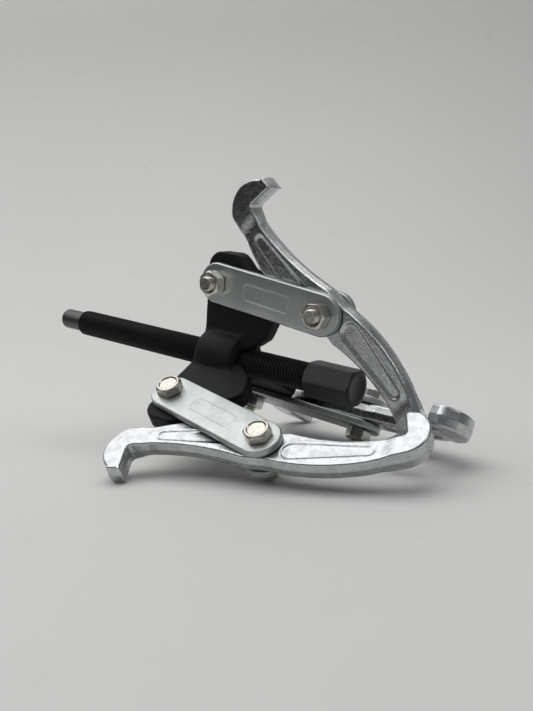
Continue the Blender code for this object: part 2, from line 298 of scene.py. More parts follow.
def screw_mesh():
    steps = 60
    rod = thread(SCREW_R, SCREW_PITCH, SCREW_NOSE, SCREW_SHOULDER, SCREW_LEAD, steps)
    edge_r = SCREW_R - SCREW_LEAD
    floor_z = SCREW_NOSE + PIN_BORE_DEPTH
    bore = [
        ring(edge_r, SCREW_NOSE, steps),
        ring(PIN_BORE_R + BORE_EDGE, SCREW_NOSE, steps),
        ring(PIN_BORE_R, SCREW_NOSE + BORE_EDGE, steps),
        ring(PIN_BORE_R, floor_z, steps),
    ]
    head = [
        ring(edge_r, SCREW_SHOULDER, steps),
        ring(edge_r, SCREW_SHOULDER + 0.4, steps),
        ring(HEX_ACROSS / 2 - 1.4, HEX_FOOT, steps),
        *hex_sides(HEX_ACROSS, HEX_FOOT, HEX_TOP, steps),
        ring(HEX_ACROSS / 2 - 2.6, HEX_TOP, steps),
        ring(HEX_ACROSS / 2 - 3.1, HEX_TOP - 0.25, steps),
    ]
    shells = joined(rod, skin(bore, capped=(False, True)), skin(head, capped=(False, True)))
    return solid("forcing_screw", *shells, turn=ALONG_X)


def screw_finish():
    oxide = Finish("screw_oxide", 0.0)
    oxide.shader.inputs["Specular IOR Level"].default_value = 0.22
    mottle = oxide.grain(7.0, 4.0)
    scuff = oxide.band(oxide.grain(2.6, 5.0), 0.62, 0.76)
    edge = oxide.band(oxide.ridge(), 0.56, 0.66) * oxide.band(mottle, 0.45, 0.62)
    base = oxide.blend(mottle, OXIDE_BLACK, (0.022, 0.021, 0.021))
    # Thread crests are painted lighter: partly a painted highlight that picks out the threads, partly
    # wear on the crests.
    crest_sheen_and_wear = oxide.band(oxide.ridge(), 0.51, 0.57)
    base = oxide.blend(crest_sheen_and_wear * 0.6, base, (0.045, 0.044, 0.043))
    # Brown scuffs and worn edges over the base, which already carries the painted crest highlight.
    worn_and_crest_sheen = oxide.blend(scuff * 0.25 + edge * 0.30, base, WORN_BROWN)
    fine = oxide.relief(oxide.grain(0.5, 3.0), 0.05)
    return oxide.paint(
        base_color=worn_and_crest_sheen,
        roughness=0.26 + mottle * 0.20 + scuff * 0.12,
        normal=oxide.relief(mottle, 0.12, fine),
    )


forcing_screw = fit(
    "screw", screw_mesh(), screw_finish(), tool_seat, "forcing_screw", "forcing_screw"
)


# ---- Thrust pin ----
# A loose steel button with a shank in the screw's nose, so that the nose doesn't turn on the shaft.
# It is turned from bar, with fine lathe marks, and is left greyer than the screw.
PIN_R = 6.3
PIN_NOSE = -136.5
PIN_SHOULDER = -118.3
PIN_SHANK_R = 3.5
PIN_SHANK_TOP = -109.3
PIN_NOSE_R = 2.2
PIN_EDGE = 0.4
LATHE_DEPTH = 0.04
LATHE_PITCH = 1.9
PIN_GREY = (0.075, 0.073, 0.071)


def pin_mesh():
    steps = 60
    rings = [ring(PIN_R - 3.4, PIN_NOSE, steps)]
    for k in range(7):
        t = math.pi / 2 * k / 6
        radius = PIN_R - PIN_NOSE_R + PIN_NOSE_R * math.sin(t)
        rings.append(ring(radius, PIN_NOSE + PIN_NOSE_R - PIN_NOSE_R * math.cos(t), steps))
    for z in range(1, 8):
        # Shallow steps left by the turning tool.
        radius = PIN_R - LATHE_DEPTH * (z % 2)
        rings.append(ring(radius, PIN_NOSE + PIN_NOSE_R + LATHE_PITCH * z, steps))
    rings += [ring(PIN_R, PIN_SHOULDER - 0.5, steps), ring(PIN_R - PIN_EDGE, PIN_SHOULDER, steps)]
    rings += [ring(PIN_SHANK_R, z, steps) for z in (PIN_SHOULDER, PIN_SHANK_TOP - PIN_EDGE)]
    rings.append(ring(PIN_SHANK_R - PIN_EDGE, PIN_SHANK_TOP, steps))
    return solid("thrust_pin", *skin(rings), turn=ALONG_X)


def pin_finish():
    steel = Finish("pin_steel", 0.75)
    cloud = steel.grain(5.0, 3.0)
    axis = tuple(tool_seat.to_3x3().col[0])
    from_nose = steel.node(
        "ShaderNodeVectorMath", {"operation": "DOT_PRODUCT"}, {0: steel.spot, 1: axis}, "Value"
    )
    lines = steel.grain(0.22, 2.0, from_nose)
    rust = steel.band(steel.grain(1.8, 4.0), 0.60, 0.70)
    base = steel.blend(cloud, PIN_GREY, (0.13, 0.125, 0.12))
    return steel.paint(
        base_color=steel.blend(rust * 0.5, base, WORN_BROWN),
        roughness=0.28 + cloud * 0.25,
        normal=steel.relief(lines, 0.03),
    )


thrust_pin = fit("pin", pin_mesh(), pin_finish(), tool_seat, "thrust_pin", "thrust_pin")


# ---- Yoke ----
# A drop forging: a hub tapped for the screw, which flares into three flat ears for the arms.
# It is shot blasted and painted semi-matte black, with a rough forged skin and rubbed corners.
HUB_R = 16.5
HUB_BACK = -10.5
HUB_FRONT = 19.0
HUB_BULGE = 1.2
HUB_ROUND = 3.0
EAR_HALF = 5.0
EAR_OUTER = 61.0
PIVOT_R = 43.5
HOLE_R = 4.3
TAPPED_R = 8.3
TAPPED_MOUTH = 1.6
ROOT_FILLET = 3.0
YOKE_VOXEL = 0.75
YOKE_BLACK = (0.007, 0.007, 0.0075)


def applied(mesh, *modifiers):
    """The mesh after these modifiers, each a type and a dictionary of its settings."""
    holder = bpy.data.objects.new("holder", mesh)
    bpy.context.scene.collection.objects.link(holder)
    for kind, settings in modifiers:
        modifier = holder.modifiers.new(kind.lower(), kind)
        for key, value in settings.items():
            setattr(modifier, key, value)
    graph = bpy.context.evaluated_depsgraph_get()
    graph.update()
    done = bpy.data.meshes.new_from_object(holder.evaluated_get(graph))
    bpy.data.objects.remove(holder)
    return done


def helper(mesh):
    """A hidden object of the mesh, for a Boolean."""
    hidden = bpy.data.objects.new("helper", mesh)
    hidden.hide_render = True
    bpy.context.scene.collection.objects.link(hidden)
    return hidden


def cut(mesh, operation, *others):
    """The mesh after a Boolean with each of the other meshes."""
    helpers = [helper(other) for other in others]
    settings = {"operation": operation, "solver": "EXACT"}
    done = applied(mesh, *[("BOOLEAN", {"object": tool, **settings}) for tool in helpers])
    for tool in helpers:
        bpy.data.objects.remove(tool)
    return done


def roughen(mesh, lumps):
    """Moves each point along its normal by noise, given as pairs of lump size and height."""
    normals = [Vector(v.vector) for v in mesh.vertex_normals]
    for vert, normal in zip(mesh.vertices, normals):
        move = sum(height * noise.noise(vert.co / (size * MM)) for size, height in lumps)
        vert.co += normal * move * MM


def ear_outline():
    """One ear seen flat, X along the screw and Y outwards, with its corners rounded by arcs."""
    corners = (
        (-10.0, 3.0, 0.0),
        (-10.0, EAR_OUTER, 9.0),
        (11.0, EAR_OUTER, 8.0),
        (21.0, PIVOT_R + 7.5, 9.0),
        (38.5, PIVOT_R - 16.0, 6.0),
        (33.0, 15.0, 6.0),
        (15.0, 3.0, 0.0),
    )
    outline = []
    for i, (x, y, radius) in enumerate(corners):
        here = Vector((x, y))
        back = (Vector(corners[i - 1][:2]) - here).normalized()
        ahead = (Vector(corners[(i + 1) % len(corners)][:2]) - here).normalized()
        half = math.acos(back.dot(ahead)) / 2
        middle = here + (back + ahead).normalized() * radius / math.sin(half)
        start = here + back * radius / math.tan(half) - middle
        for k in range(9 if radius else 1):
            sweep = (math.pi - 2 * half) * k / 8
            turn = Matrix.Rotation(sweep if start.cross(back) < 0 else -sweep, 2)
            outline.append(middle + turn @ start if radius else here)
    return outline


def yoke_mesh():
    outline = ear_outline()
    steps = 64
    barrel = []
    for k in range(17):
        # The hub bulges a little at its middle and is rounded over at both faces.
        share = k / 16
        z = HUB_BACK + (HUB_FRONT - HUB_BACK) * share
        bulge = HUB_R - HUB_BULGE + HUB_BULGE * math.sin(math.pi * share)
        into = max(0.0, HUB_ROUND - min(z - HUB_BACK, HUB_FRONT - z))
        over = HUB_ROUND - math.sqrt(max(0.0, HUB_ROUND**2 - into**2))
        barrel.append(ring(bulge - over, z, steps))
    body = solid("yoke", *skin(barrel), turn=ALONG_X)
    ears = []
    for turn in (0, 120, 240):
        points = [(p.x, p.y, -EAR_HALF) for p in outline] + [(p.x, p.y, EAR_HALF) for p in outline]
        count = len(outline)
        flat = skin([points[:count], points[count:]])
        spin = Matrix.Rotation(math.radians(turn), 4, "X")
        ears.append(solid("ear", *flat, turn=spin))
        web = []
        for k in range(9):
            # A web that narrows outwards, for the fillet between hub and ear.
            out = HUB_R - 4.0 + (ROOT_FILLET + 4.0) * k / 8
            narrow = 1.0 - max(0.0, out - HUB_R + 1.5) / (ROOT_FILLET + 1.5)
            half = EAR_HALF - 0.4 + 1.6 * narrow**2
            back, front = HUB_BACK + 2.4 - 0.2 * k, HUB_FRONT - 2.5 + 1.2 * k
            corners = ((back, -half), (front, -half), (front, half), (back, half))
            web.append([(x, out, z) for x, z in corners])
        ears.append(solid("web", *skin(web), turn=spin))
    body = cut(body, "UNION", *ears)
    body = applied(
        body,
        ("REMESH", {"mode": "VOXEL", "voxel_size": YOKE_VOXEL * MM}),
        ("SMOOTH", {"factor": 0.5, "iterations": 9}),
    )
    roughen(body, ((9.0, 0.14), (3.2, 0.12)))
    mouth = TAPPED_R + TAPPED_MOUTH
    bore = [ring(mouth, z, steps) for z in (-40.0, HUB_BACK)]
    bore += [ring(TAPPED_R, z, steps) for z in (HUB_BACK + TAPPED_MOUTH, HUB_FRONT - TAPPED_MOUTH)]
    bore += [ring(mouth, z, steps) for z in (HUB_FRONT, 60.0)]
    cutters = [solid("bore", *skin(bore), turn=ALONG_X)]
    for turn in (0, 120, 240):
        spin = Matrix.Rotation(math.radians(turn), 4, "X")
        at = spin @ Matrix.Translation((0, PIVOT_R * MM, 0))
        cutters.append(solid("hole", *skin([ring(HOLE_R, z, 40) for z in (-12.0, 12.0)]), turn=at))
    body = cut(body, "DIFFERENCE", *cutters)
    smooth(body, 40.0)
    return body


def yoke_finish():
    black = Finish("yoke_black", 0.0)
    black.shader.inputs["Specular IOR Level"].default_value = 0.16
    cloud = black.grain(11.0, 5.0)
    pit = black.band(black.grain(0.9, 3.0), 0.50, 0.72)
    edge = black.band(black.ridge(), 0.505, 0.56) * black.band(black.grain(4.0, 5.0), 0.46, 0.62)
    scuff = black.band(black.grain(1.5, 6.0), 0.66, 0.74) * black.band(cloud, 0.50, 0.62)
    base = black.blend(cloud, YOKE_BLACK, (0.014, 0.0135, 0.013))
    rubbed = black.blend(edge * 0.25, base, (0.05, 0.045, 0.040))
    skin_bump = black.relief(black.grain(1.5, 5.0), 0.20)
    return black.paint(
        base_color=black.blend(scuff * 0.8, rubbed, (0.16, 0.115, 0.075)),
        roughness=0.44 + cloud * 0.16 - edge * 0.10 + pit * 0.12,
        normal=black.relief(pit, 0.07, skin_bump),
    )


yoke = fit("yoke_casting", yoke_mesh(), yoke_finish(), tool_seat, "yoke", "yoke")


# ---- Link plates ----
# Two flat plates on each arm, blanked from 4 mm strip, with a frame stamped in the outer face.
# They are bright zinc plated: a satin, faintly greenish grey, with the edges tumbled smooth.
LINK_LENGTH = 72.0
PLATE_R = 11.5
PLATE_HALF = 2.0
PLATE_AT = 7.3
PLATE_UNDER_R = 0.7
PLATE_OVER_R = 1.0
HOLE_EDGE = 0.3
FRAME_HALF = (15.5, 4.4)
FRAME_CORNER = 2.2
# Across the stamped frame: how far out from its line, and how far below the face.
FRAME_GROOVE = ((0.50, 0.0), (0.20, 0.13), (-0.10, 0.13), (-0.40, 0.03))
ZINC_GREY = (0.50, 0.525, 0.515)


def stadium(radius, length, height, steps=48):
    """A long ring of points with round ends, one about the origin and one this far along X."""
    points = []
    for i in range(steps):
        t = 2 * math.pi * (i + 0.5) / steps
        x = length if math.cos(t) > 0 else 0.0
        points.append((x + radius * math.cos(t), radius * math.sin(t), height))
    return points


def box_ring(half, corner, height, centre, per_corner=6):
    """A rounded rectangle of points."""
    points = []
    for quarter in range(4):
        sx, sy = ((1, 1), (-1, 1), (-1, -1), (1, -1))[quarter]
        for k in range(per_corner):
            t = math.pi / 2 * (quarter + k / (per_corner - 1))
            x = centre + sx * (half[0] - corner) + corner * math.cos(t)
            points.append((x, sy * (half[1] - corner) + corner * math.sin(t), height))
    return points


def plate_mesh():
    """A plate with its outer face, the one with the stamped frame, at +Z."""
    outer = []
    for t in (0.0, 0.5, 1.05, math.pi / 2):
        radius = PLATE_R - PLATE_UNDER_R + PLATE_UNDER_R * math.sin(t)
        height = -PLATE_HALF + PLATE_UNDER_R - PLATE_UNDER_R * math.cos(t)
        outer.append(stadium(radius, LINK_LENGTH, height))
    for t in (0.0, 0.4, 0.8, 1.2, math.pi / 2):
        radius = PLATE_R - PLATE_OVER_R + PLATE_OVER_R * math.cos(t)
        height = PLATE_HALF - PLATE_OVER_R + PLATE_OVER_R * math.sin(t)
        outer.append(stadium(radius, LINK_LENGTH, height))
    bm = bmesh.new()

    def loop(points):
        return [bm.verts.new(Vector(p) * MM) for p in points]

    def wall(rings):
        for low, high in zip(rings, rings[1:]):
            for i in range(len(low)):
                j = (i + 1) % len(low)
                bm.faces.new((low[i], low[j], high[j], high[i]))

    sides = [loop(points) for points in outer]
    wall(sides)
    holes = []
    profile = (
        (HOLE_R + HOLE_EDGE, -PLATE_HALF),
        (HOLE_R, -PLATE_HALF + HOLE_EDGE),
        (HOLE_R, PLATE_HALF - HOLE_EDGE),
        (HOLE_R + HOLE_EDGE, PLATE_HALF),
    )
    for x in (0.0, LINK_LENGTH):
        rings = [loop([(x + px, py, pz) for px, py, pz in ring(r, z, 32)]) for r, z in profile]
        wall(rings)
        holes.append(rings)
    middle = LINK_LENGTH / 2
    grooves = []
    for grow, sink in FRAME_GROOVE:
        half = (FRAME_HALF[0] + grow, FRAME_HALF[1] + grow)
        grooves.append(loop(box_ring(half, FRAME_CORNER + grow, PLATE_HALF - sink, middle)))
    wall(grooves)
    bm.faces.new(grooves[-1])

    def fill(*loops):
        edges = []
        for one in loops:
            for i in range(len(one)):
                edge = bm.edges.get((one[i], one[(i + 1) % len(one)]))
                edges.append(edge or bm.edges.new((one[i], one[(i + 1) % len(one)])))
        bmesh.ops.triangle_fill(bm, use_beauty=True, edges=edges)

    fill(sides[-1], holes[0][-1], holes[1][-1], grooves[0])
    fill(sides[0], holes[0][0], holes[1][0])
    bmesh.ops.recalc_face_normals(bm, faces=bm.faces[:])
    mesh = bpy.data.meshes.new("link_plate")
    bm.to_mesh(mesh)
    bm.free()
    smooth(mesh, 12.0)
    return mesh


def plate_finish():
    zinc = Finish("link_zinc", 1.0)
    cloud = zinc.grain(14.0, 5.0)
    mottle = zinc.grain(2.4, 5.0)
    smear = zinc.node(
        "ShaderNodeVectorMath", {"operation": "MULTIPLY"}, {0: zinc.spot, 1: (0.16, 1.0, 1.0)}
    )
    streak = zinc.grain(0.9, 3.0, smear)
    dull = zinc.band(mottle * 0.35 + cloud * 0.65, 0.38, 0.66)
    edge = zinc.band(zinc.ridge(), 0.52, 0.60)
    base = zinc.blend(dull, ZINC_GREY, (0.43, 0.455, 0.445))
    fine = zinc.relief(zinc.grain(0.35, 3.0), 0.012)
    return zinc.paint(
        base_color=zinc.blend(edge * 0.6, base, (0.72, 0.74, 0.73)),
        roughness=0.36 + dull * 0.06 + streak * 0.08 - edge * 0.12,
        normal=zinc.relief(streak, 0.03, fine),
    )


plate, plate_zinc = plate_mesh(), plate_finish()
# The side of each arm that its bolt heads are on, along the axis of its swing.
HEADS = {"a": -1, "b": -1, "c": 1}
link_seats, yoke_pivots, jaw_pivots = {}, {}, {}
for arm, head in HEADS.items():
    swing = joints[f"link_swing_{arm}"]
    near, far = Vector(swing["pos_m"]), Vector(joints[f"jaw_swing_{arm}"]["pos_m"])
    link_seats[arm] = seat(near, far - near, swing["axis"])
    yoke_pivots[arm] = seat(near, -Vector(joints["screw_turn"]["axis"]), swing["axis"])
    jaw_pivots[arm] = seat(far, far - near, swing["axis"])
    for side, up in (("head", head), ("nut", -head)):
        face_up = Matrix.Rotation(0 if up > 0 else math.pi, 4, "X")
        at = link_seats[arm] @ Matrix.Translation((0, 0, up * PLATE_AT * MM)) @ face_up
        node = f"link_{arm}_{side}"
        piece = fit(f"plate_{arm}_{side}", plate, plate_zinc, at, f"links_{arm}", node)


# ---- Pivot bolts and nuts ----
# M8 hexagon bolts and nuts, cold headed and zinc plated with a faint yellow passivation.
# A bolt and a nut hold each end of each arm, dished head on one side and thread end on the other.
BOLT_R = 4.0
BOLT_PITCH = 1.25
BOLT_ACROSS = 13.0
BOLT_SEAT = 9.6
HEAD_HEIGHT = 5.3
NUT_HEIGHT = 6.5
BOLT_END = -18.7
THREAD_TOP = -10.4
# Across the rim of the head: how far in from its edge, and how far below its top.
HEAD_RIM = (
    (0.0, 0.5),
    (0.12, 0.2),
    (0.4, 0.03),
    (0.7, 0.0),
    (1.0, 0.08),
    (1.25, 0.35),
    (1.5, 0.75),
    (1.8, 0.95),
    (2.2, 1.0),
)
DISH_DEPTH = 1.0
CRINKLE_SIZE = 1.3
CRINKLE_HEIGHT = 0.30
BOLT_LEAD = 0.55
BOLT_BRIGHT = (0.54, 0.53, 0.49)


def bolt_mesh():
    steps = 60
    top = BOLT_SEAT + HEAD_HEIGHT
    end_r = BOLT_R - BOLT_LEAD
    rod = thread(BOLT_R, BOLT_PITCH, BOLT_END, THREAD_TOP, BOLT_LEAD, steps)
    end = [ring(end_r, BOLT_END, steps)]
    for k in range(1, 5):
        # The sheared end is slightly ringed by the cutter.
        end.append(ring(end_r * (1 - k / 5), BOLT_END + (0.04 if k % 2 else 0.0), steps))
    radii = hex_radii(BOLT_ACROSS, steps)
    body = [
        ring(end_r, THREAD_TOP, steps),
        ring(BOLT_R - 0.1, THREAD_TOP + 0.6, steps),
        ring(BOLT_R - 0.1, BOLT_SEAT, steps),
        ring([r - HEX_CHAMFER for r in radii], BOLT_SEAT, steps),
        ring(radii, BOLT_SEAT + HEX_CHAMFER, steps),
    ]
    face_r = BOLT_ACROSS / 2 - 0.15
    drops = [(r - face_r) * math.tan(math.radians(34)) for r in radii]
    body.append(ring(radii, [top - 0.55 - d for d in drops], steps))
    for out, down in HEAD_RIM:
        body.append(ring(face_r - out, top - down, steps))
    for radius in (3.5, 2.8, 2.1, 1.4, 0.6):
        body.append(ring(radius, top - DISH_DEPTH, steps))
    shells = joined(rod, skin(end, capped=(False, True)), skin(body, capped=(False, True)))
    mesh = solid("pivot_bolt", *shells, sharp=28.0)
    dish_r, dish_top = (face_r - 1.7) * MM, (top - 0.9) * MM
    for vert in mesh.vertices:
        # The die leaves the floor of the dish crinkled.
        x, y, z = vert.co
        if (top - 1.2) * MM < z < dish_top + 1e-9 and vert.co.xy.length < dish_r:
            crinkle = noise.noise(Vector((x, y, 0.3 * MM)) / (CRINKLE_SIZE * MM))
            vert.co.z += CRINKLE_HEIGHT * MM * crinkle
    return mesh


def nut_mesh():
    steps = 60
    top, bottom = -BOLT_SEAT, -BOLT_SEAT - NUT_HEIGHT
    rings = [ring(BOLT_R + 0.15, z, steps) for z in (top - 0.9, bottom + 0.9)]
    rings += [ring(BOLT_R + 1.0, bottom + 0.05, steps), ring(BOLT_R + 1.25, bottom, steps)]
    rings += hex_sides(BOLT_ACROSS, bottom, top, steps)
    rings += [ring(BOLT_R + 1.25, top, steps), ring(BOLT_R + 1.0, top - 0.05, steps), rings[0]]
    return solid("pivot_nut", *skin(rings, capped=(False, False)))


def bolt_finish():
    bright = Finish("bolt_zinc", 1.0)
    cloud = bright.grain(4.5, 4.0)
    speck = bright.band(bright.grain(0.7, 4.0), 0.55, 0.72)
    edge = bright.band(bright.ridge(), 0.53, 0.60)
    base = bright.blend(cloud, BOLT_BRIGHT, (0.66, 0.63, 0.56))
    base = bright.blend(speck * 0.35, base, (0.36, 0.345, 0.31))
    crinkle = bright.relief(bright.grain(0.45, 3.0), 0.012)
    return bright.paint(
        base_color=bright.blend(edge * 0.5, base, (0.80, 0.80, 0.78)),
        roughness=0.20 + cloud * 0.16 + speck * 0.12 - edge * 0.06,
        normal=bright.relief(cloud, 0.03, crinkle),
    )


bolt, nut = bolt_mesh(), nut_mesh()
bolt_bright = bolt_finish()
for arm, head in HEADS.items():
    flip = Matrix.Rotation(0 if head > 0 else math.pi, 4, "X")
    for owner, pivots, body, turns in (
        ("yoke", yoke_pivots, "yoke", (0, 30)),
        ("jaw", jaw_pivots, f"links_{arm}", (20, 10)),
    ):
        for kind, mesh, turn in (("bolt", bolt, turns[0]), ("nut", nut, turns[1])):
            at = pivots[arm] @ Matrix.Rotation(math.radians(turn), 4, "Z") @ flip
            node = f"{owner}_{kind}_{arm}"
            piece = fit(f"m8_{node}", mesh, bolt_bright, at, body, node)


# ---- Jaws ----
# Three like drop forgings, each with a small and a big hook, so that either end can be used.
# Each leg has a shallow panel in its faces.  They are nickel-chrome plated over the forged skin.
JAW_HALF = 4.7
HOOK_HALF = 5.7
LONG_EDGE_R = 100.0
SMALL_HOOK = Vector((-69.5, 9.5))
SMALL_HOOK_R = 17.5
SMALL_HOOK_END = 26.0
BIG_HOOK = Vector((67.5, -12.5))
BIG_HOOK_R = 16.3
BIG_HOOK_END = -26.8
JAW_SET = {"a": -31.4, "b": -26.0, "c": -26.5}
# Each sunk panel narrows from one end to the other: X, Y and half width at each.
PANELS = (((17.8, 4.4, 5.4), (56.0, 1.2, 3.1)), ((-17.5, -3.6, 5.4), (-57.0, -1.2, 3.1)))
PANEL_DEPTH = 0.8
PANEL_LIP = 0.10
JAW_STEP = 0.7
JAW_REACH = (90.0, 30.0)
FLASH_HALF = 0.45
# How far in from the outline each ring of the edge is, and how far below the face.
# None is the edge of the trimmed flash, which is FLASH_HALF from the parting line.
JAW_EDGE = ((0.16, None), (0.42, 1.45), (0.55, 0.85), (0.86, 0.34), (1.3, 0.06), (1.75, 0.0))
CHROME = (0.57, 0.58, 0.59)


def bend(centre, radius, start, end, step=5.0):
    """Points on an arc between two angles in degrees."""
    count = math.ceil(abs(end - start) / step)
    turns = [math.radians(start + (end - start) * i / count) for i in range(count + 1)]
    return [centre + radius * Vector((math.cos(t), math.sin(t))) for t in turns]


def long_edge(crest_sheen_and_wear, side, start, end, count=20):
    """Points on a long shallow arc, which is highest, or lowest on side -1, at its crest."""
    points = []
    for i in range(count + 1):
        x = start + (end - start) * i / count
        rise = LONG_EDGE_R - math.sqrt(LONG_EDGE_R**2 - (x - crest_sheen_and_wear[0]) ** 2)
        points.append(Vector((x, crest_sheen_and_wear[1] - side * rise)))
    return points


def jaw_outline():
    """The jaw's outline from above, anticlockwise, with its corners eased."""
    small, big = SMALL_HOOK, BIG_HOOK
    outline = long_edge((27.0, 13.7), 1, 6.0, 57.0)
    outline += bend(big, BIG_HOOK_R, 62.0, -61.0)
    outline += [Vector((big.x + 2.2, BIG_HOOK_END)), Vector((big.x + 0.2, BIG_HOOK_END + 1.9))]
    outline += [big + Vector(move) for move in ((3.9, 0.6), (3.2, 2.0), (-1.3, 3.4))]
    outline += long_edge((40.0, -5.4), 1, 58.0, 14.0)
    outline += long_edge((-28.0, -14.8), -1, 7.0, small.x + 5.0)
    outline += bend(small, SMALL_HOOK_R, 237.0, 123.0)
    outline.append(Vector((small.x - 9.3, SMALL_HOOK_END)))
    outline.append(Vector((small.x - 0.6, SMALL_HOOK_END - 0.6)))
    outline += [small + Vector(move) for move in ((-3.9, 0.2), (-3.0, -1.3), (1.2, -2.3))]
    for x in (-63.0, -56.0, -50.0, -42.0, -34.0, -26.0, -18.0, -8.0):
        outline.append(Vector((x, 5.0 + (x + 50.0) ** 2 / 300.0)))
    outline.reverse()
    for spacing in (2.4, 1.1):
        outline = spread(outline, spacing)
        eased = []
        for here, there in zip(outline, outline[1:] + outline[:1]):
            eased += [here.lerp(there, 0.25), here.lerp(there, 0.75)]
        outline = eased
    return outline


def spread(loop, spacing):
    """The loop with more points on its long sides, so that none is longer than the spacing."""
    points = []
    for here, there in zip(loop, loop[1:] + loop[:1]):
        count = math.ceil((there - here).length / spacing)
        points += [here.lerp(there, i / count) for i in range(count)]
    return points


def shrunk(loop, distance):
    """The loop moved inwards, in small steps that keep tight corners clean."""
    count = math.ceil(distance / 0.2)
    for _ in range(count):
        moved = []
        for i, here in enumerate(loop):
            along = (loop[(i + 1) % len(loop)] - loop[i - 1]).normalized()
            moved.append(here + Vector((-along.y, along.x)) * distance / count)
        loop = []
        for i, here in enumerate(moved):
            beside = moved[i - 1] + moved[(i + 1) % len(moved)]
            loop.append(here * 0.7 + beside * 0.15)
    return loop


def clamped(value, low, high):
    """How far the value is from low to high, as a share from 0 to 1."""
    return max(0.0, min(1.0, (value - low) / (high - low)))


def jaw_thickness(x):
    """Half the jaw's thickness: the hooks are thicker, and a short ramp leads up to each."""
    hook = max(1.0 - clamped(x, -72.5, -65.0), clamped(x, 61.5, 69.0))
    return JAW_HALF + (HOOK_HALF - JAW_HALF) * hook * hook * (3 - 2 * hook)


def jaw_face(x, y):
    """The height of the face, with its sunk panels and the low lip round each."""
    height = jaw_thickness(x)
    for wide, narrow in PANELS:
        start, end = Vector(wide[:2]), Vector(narrow[:2])
        here = Vector((x, y))
        share = clamped((here - start).dot(end - start), 0.0, (end - start).length_squared)
        half = wide[2] + (narrow[2] - wide[2]) * share
        away = (here - start.lerp(end, share)).length - half
        sunk = 1.0 - clamped(away, -0.75, 0.35)
        lip = max(0.0, 1.0 - abs(away - 1.0) / 0.9)
        height += PANEL_LIP * lip - PANEL_DEPTH * sunk * sunk * (3 - 2 * sunk)
    return height


def inside(points, loop):
    """Which of the points lie inside the loop."""
    here = np.array([tuple(p) for p in loop])
    there = np.roll(here, -1, axis=0)
    x, y = points[:, :1], points[:, 1:2]
    crosses = (here[:, 1] > y) != (there[:, 1] > y)
    rise = np.where(there[:, 1] == here[:, 1], 1e-9, there[:, 1] - here[:, 1])
    at = (there[:, 0] - here[:, 0]) * (y - here[:, 1]) / rise + here[:, 0]
    return (crosses & (x < at)).sum(axis=1) % 2 == 1


def jaw_mesh():
    outline = jaw_outline()
    bm = bmesh.new()
    rings = []
    loop, done = outline, 0.0
    for inset, drop in JAW_EDGE:
        loop = shrunk(loop, inset - done)
        done = inset
        rings.append((loop, drop))

    def placed(side):
        stack = []
        for flat, drop in rings:
            row = []
            for p in flat:
                height = FLASH_HALF if drop is None else jaw_thickness(p.x) - drop
                row.append(bm.verts.new((p.x * MM, p.y * MM, side * height * MM)))
            stack.append(row)
        return stack

    parting = [bm.verts.new((p.x * MM, p.y * MM, 0.0)) for p in outline]
    hole = [Vector(p[:2]) for p in ring(HOLE_R, 0.0, 40)]
    inner = rings[-1][0]
    xs = np.arange(-JAW_REACH[0], JAW_REACH[0], JAW_STEP)
    ys = np.arange(-JAW_REACH[1], JAW_REACH[1], JAW_STEP)
    grid = np.array([(x, y) for x in xs for y in ys])
    grid = grid[inside(grid, inner)]
    for bound in (inner, hole):
        flat = np.array([tuple(p) for p in bound])
        apart = grid[:, None, :] - flat[None, :, :]
        near = np.sqrt((apart**2).sum(axis=2)).min(axis=1)
        grid = grid[near > 0.5 * JAW_STEP]
    grid = grid[np.hypot(grid[:, 0], grid[:, 1]) > HOLE_R]
    fixed = list(inner) + hole + [Vector(p) for p in grid.tolist()]
    count, ringed = len(inner), len(inner) + len(hole)
    lines = [(i, (i + 1) % count) for i in range(count)]
    lines += [(count + i, count + (i + 1) % len(hole)) for i in range(len(hole))]
    verts, _, triangles, *_ = geometry.delaunay_2d_cdt(fixed, lines, [], 0, 1e-5)
    middles = [[sum(verts[i][axis] for i in tri) / 3 for axis in (0, 1)] for tri in triangles]
    middles = np.array(middles)
    kept = inside(middles, inner) & ~inside(middles, hole)
    hole_walls = []
    for side in (1, -1):
        stack = placed(side)
        for low, high in zip([parting] + stack, stack):
            for i in range(count):
                j = (i + 1) % count
                bm.faces.new((low[i], low[j], high[j], high[i]))
        face = list(stack[-1])
        for i in range(count, len(verts)):
            p = verts[i]
            face.append(bm.verts.new((p.x * MM, p.y * MM, side * jaw_face(p.x, p.y) * MM)))
        for tri, keep in zip(triangles, kept):
            if keep:
                bm.faces.new([face[i] for i in tri])
        hole_walls.append(face[count:ringed])
    for i in range(len(hole)):
        j = (i + 1) % len(hole)
        upper, lower = hole_walls
        bm.faces.new((upper[i], upper[j], lower[j], lower[i]))
    bmesh.ops.recalc_face_normals(bm, faces=bm.faces[:])
    mesh = bpy.data.meshes.new("jaw")
    bm.to_mesh(mesh)
    bm.free()
    roughen(mesh, ((9.0, 0.10), (2.0, 0.035)))
    smooth(mesh, 50.0)
    return mesh


def jaw_finish():
    chrome = Finish("jaw_plating", 1.0)
    cloud = chrome.grain(16.0, 4.0)
    peel = chrome.grain(1.1, 3.0)
    sand = chrome.grain(0.42, 3.0)
    pit = chrome.band(chrome.grain(0.7, 3.0), 0.54, 0.70)
    edge = chrome.band(chrome.ridge(), 0.51, 0.56)
    dull = chrome.band(chrome.grain(5.0, 5.0), 0.45, 0.62)
    base = chrome.blend(dull, CHROME, (0.50, 0.51, 0.52))
    bumps = chrome.relief(peel, 0.070)
    bumps = chrome.relief(sand, 0.060, bumps)
    return chrome.paint(
        base_color=chrome.blend(pit * 0.55, base, (0.33, 0.335, 0.34)),
        roughness=0.19 + dull * 0.07 + cloud * 0.06 - edge * 0.06,
        normal=chrome.relief(1.0 - pit, 0.03, bumps),
    )


jaw, jaw_chrome = jaw_mesh(), jaw_finish()
for arm, angle in JAW_SET.items():
    at = jaw_pivots[arm] @ Matrix.Rotation(math.radians(angle), 4, "Z")
    piece = fit(f"jaw_forging_{arm}", jaw, jaw_chrome, at, f"jaw_{arm}", f"jaw_{arm}")


